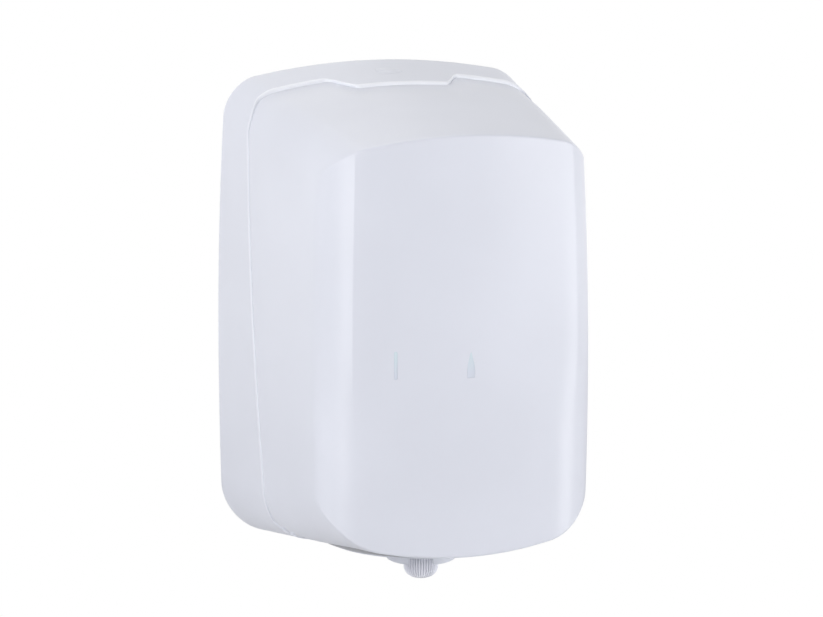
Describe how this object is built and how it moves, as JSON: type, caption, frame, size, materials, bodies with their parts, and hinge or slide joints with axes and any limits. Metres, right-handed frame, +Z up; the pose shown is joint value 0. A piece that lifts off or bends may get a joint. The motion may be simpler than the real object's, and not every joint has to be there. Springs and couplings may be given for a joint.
{
  "type": "towel dispenser",
  "caption": "Wall-mounted centre-pull paper towel roll dispenser: rear base, hinged bowed cover with a lock at the top, tray and swivelling outlet nozzle below the roll.",
  "frame": {"origin": "middle of the flat wall face of the rear base, at half its height", "axes": "+Y out of the back towards the wall, so the front faces -Y; +X to the right seen from the front; +Z up"},
  "size_m": [0.235, 0.22, 0.353],
  "materials": {
    "base_plastic": "moulded gloss white plastic",
    "cover_plastic": "moulded gloss white plastic",
    "tray_plastic": "satin moulded white plastic",
    "nozzle_plastic": "smoky grey translucent plastic",
    "washer_rubber": "soft grey rubber",
    "window_plastic": "clear blue-green plastic",
    "steel": "bright zinc-plated steel"
  },
  "bodies": {
    "base": {"rear_base": "base_plastic", "outlet_tray": "tray_plastic", "nozzle_collar": "tray_plastic", "collar_nut": "tray_plastic", "hinge_pin_left": "steel", "hinge_pin_right": "steel", "lock_housing": "tray_plastic", "key_plate": "base_plastic", "latch_spring": "steel", "lock_screw_1": "steel", "lock_screw_2": "steel", "tray_screw_1": "steel", "tray_screw_2": "steel", "tray_screw_3": "steel", "tray_screw_4": "steel"},
    "cover": {"front_cover": "cover_plastic", "level_window": "window_plastic"},
    "latch": {"lock_latch": "tray_plastic"},
    "nozzle_swivel": {"nozzle": "nozzle_plastic", "drag_washer": "washer_rubber", "star_restrictor": "nozzle_plastic"}
  },
  "joints": [
    {"name": "cover_hinge", "type": "hinge", "parent": "base", "child": "cover", "pos_m": [0, -0.088, -0.1435], "axis": [1, 0, 0], "range_deg": [0, 90]},
    {"name": "latch_slide", "type": "slide", "parent": "base", "child": "latch", "axis": [0, 0, 1], "range_m": [-0.005, 0], "stiffness_N_per_m": 400, "springref_m": 0.003, "deforming": ["latch_spring"]},
    {"name": "nozzle_turn", "type": "hinge", "parent": "base", "child": "nozzle_swivel", "pos_m": [0, -0.11, -0.1653], "axis": [0, 0, 1], "continuous": true}
  ]
}
